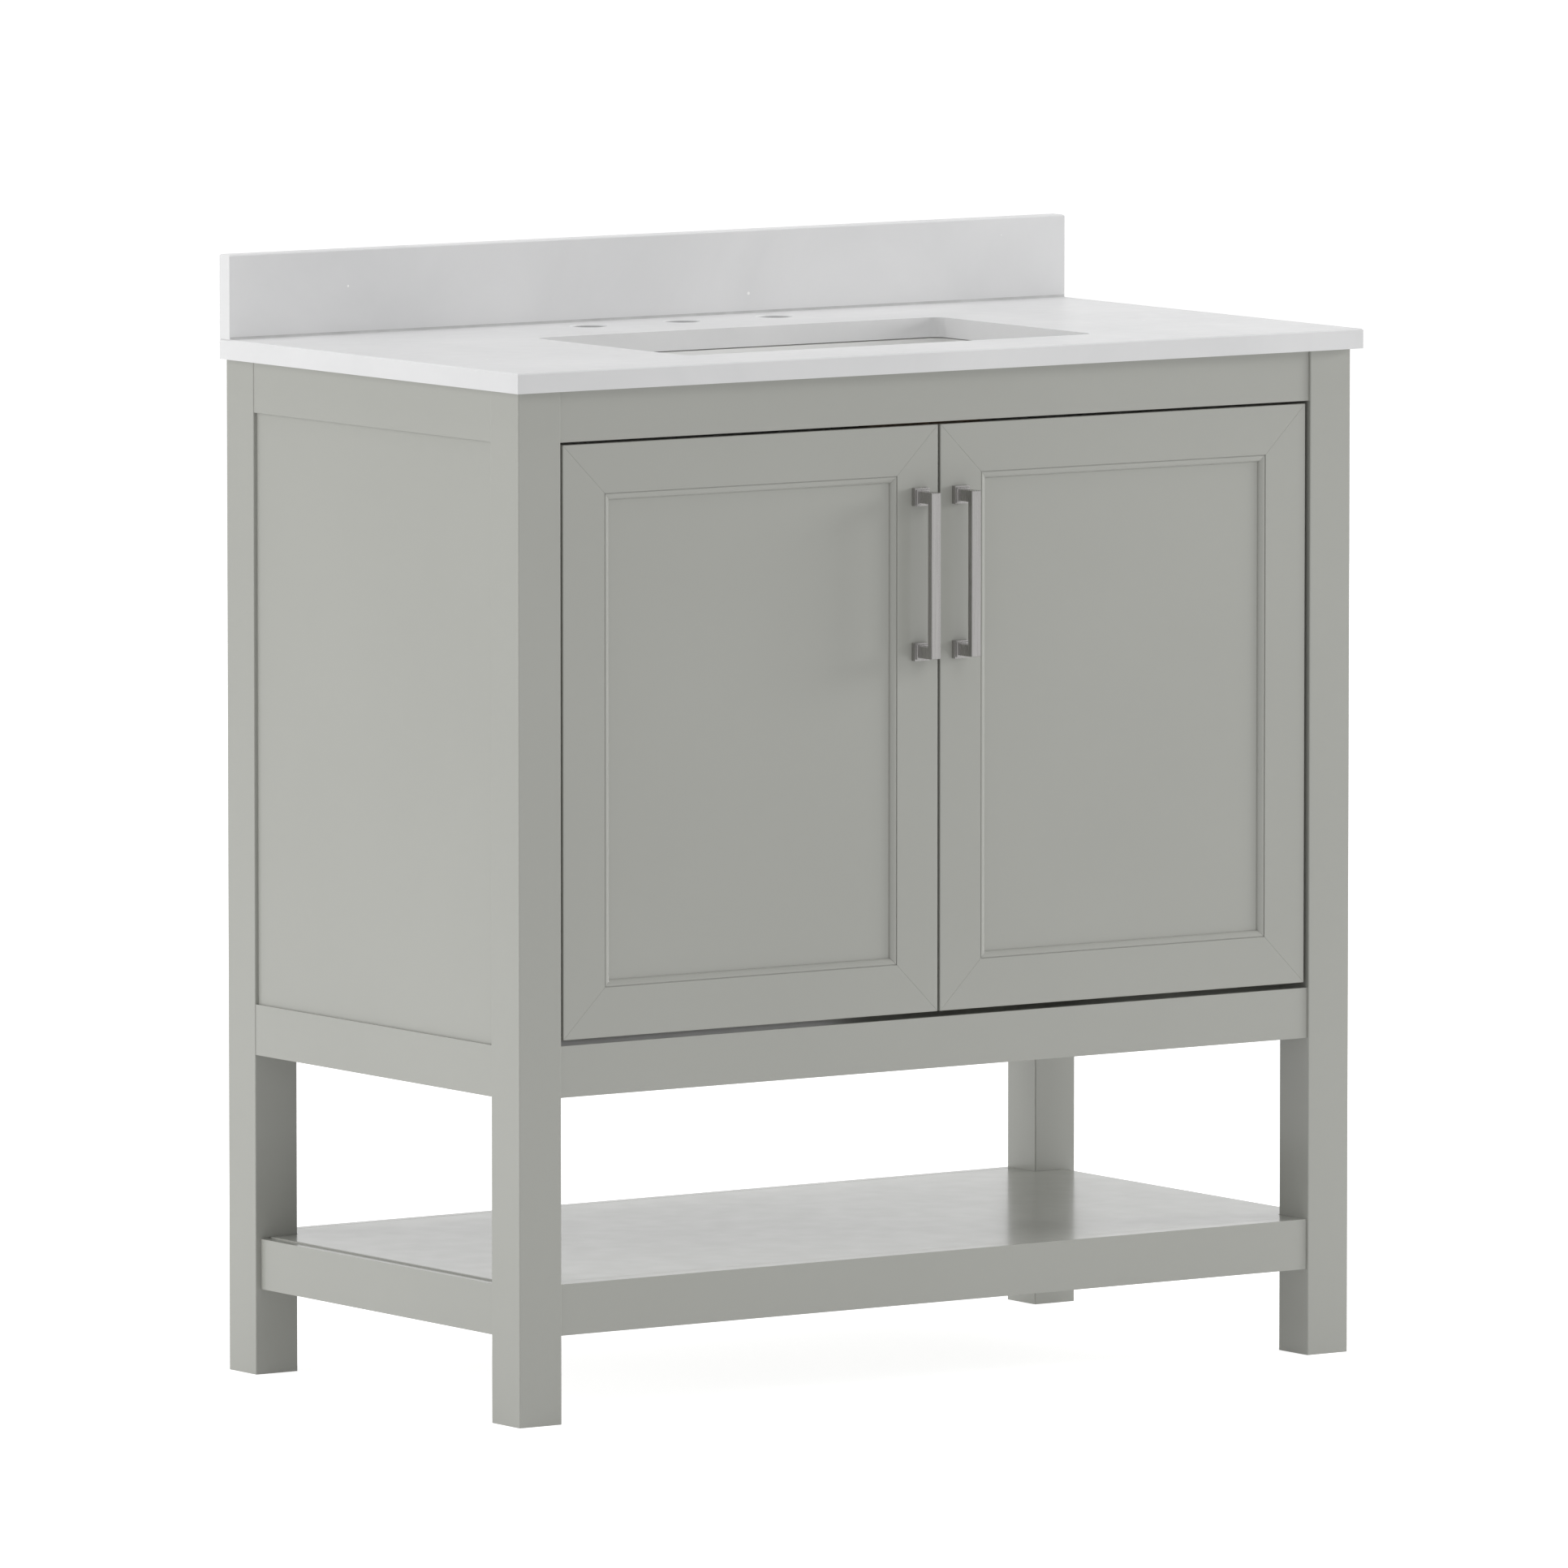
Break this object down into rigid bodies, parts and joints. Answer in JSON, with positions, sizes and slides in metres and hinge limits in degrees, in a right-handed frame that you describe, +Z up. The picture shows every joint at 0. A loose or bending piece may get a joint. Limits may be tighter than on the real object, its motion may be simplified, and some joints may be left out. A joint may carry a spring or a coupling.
{
  "type": "bathroom vanity cabinet",
  "caption": "Freestanding painted bathroom vanity with inset hinged doors, square bar pulls, open lower shelf, stone top with backsplash, undermount basin and tap holes.",
  "frame": {"origin": "on the floor, under the middle of the bounding box", "axes": "+X to the right as seen from the front, +Y from the doors towards the wall, +Z up; the doors face -Y"},
  "size_m": [0.9144, 0.4966, 1.006],
  "materials": {
    "painted_wood": "satin painted",
    "raw_wood": "bare",
    "stone_top": "polished",
    "ceramic": "glazed",
    "sealant": "matte",
    "rubber": "matte",
    "brushed_nickel": "brushed",
    "hinge_steel": "nickel plated",
    "zinc_steel": "zinc plated"
  },
  "bodies": {
    "cabinet": {"back_bottom_rail": "painted_wood", "back_panel": "painted_wood", "back_top_rail": "painted_wood", "backsplash": "stone_top", "cabinet_floor": "painted_wood", "corner_blocks": "raw_wood", "countertop": "stone_top", "door_bumpers": "rubber", "door_stop": "raw_wood", "front_bottom_rail": "painted_wood", "front_top_rail": "painted_wood", "hinge_arms_left": "hinge_steel", "hinge_arms_right": "hinge_steel", "hinge_batten_left": "painted_wood", "hinge_batten_right": "painted_wood", "hinge_plate_screws": "zinc_steel", "hinge_plates_left": "hinge_steel", "hinge_plates_right": "hinge_steel", "leg_back_left": "painted_wood", "leg_back_right": "painted_wood", "leg_front_left": "painted_wood", "leg_front_right": "painted_wood", "rail_dowels": "raw_wood", "shelf_back_rail": "painted_wood", "shelf_front_rail": "painted_wood", "shelf_panel": "painted_wood", "shelf_side_rail_left": "painted_wood", "shelf_side_rail_right": "painted_wood", "side_bottom_rail_left": "painted_wood", "side_bottom_rail_right": "painted_wood", "side_panel_left": "painted_wood", "side_panel_right": "painted_wood", "side_top_rail_left": "painted_wood", "side_top_rail_right": "painted_wood", "sink_basin": "ceramic", "sink_clip_screws": "zinc_steel", "sink_clips": "zinc_steel", "sink_seal": "sealant"},
    "door_left": {"door_left_cup_screws": "zinc_steel", "door_left_hinge_cups": "hinge_steel", "door_left_hinge_pins": "hinge_steel", "door_left_hinge_stile": "painted_wood", "door_left_lock_stile": "painted_wood", "door_left_panel": "painted_wood", "door_left_pull_bar": "brushed_nickel", "door_left_pull_plates": "brushed_nickel", "door_left_pull_screws": "zinc_steel", "door_left_rail_bottom": "painted_wood", "door_left_rail_top": "painted_wood"},
    "door_right": {"door_right_cup_screws": "zinc_steel", "door_right_hinge_cups": "hinge_steel", "door_right_hinge_pins": "hinge_steel", "door_right_hinge_stile": "painted_wood", "door_right_lock_stile": "painted_wood", "door_right_panel": "painted_wood", "door_right_pull_bar": "brushed_nickel", "door_right_pull_plates": "brushed_nickel", "door_right_pull_screws": "zinc_steel", "door_right_rail_bottom": "painted_wood", "door_right_rail_top": "painted_wood"}
  },
  "joints": [
    {"name": "door_left_hinge", "type": "hinge", "parent": "cabinet", "child": "door_left", "pos_m": [-0.3795, -0.2093, 0.6018], "axis": [0, 0, -1], "range_deg": [0, 95]},
    {"name": "door_right_hinge", "type": "hinge", "parent": "cabinet", "child": "door_right", "pos_m": [0.3795, -0.2093, 0.6018], "axis": [0, 0, 1], "range_deg": [0, 95]}
  ]
}
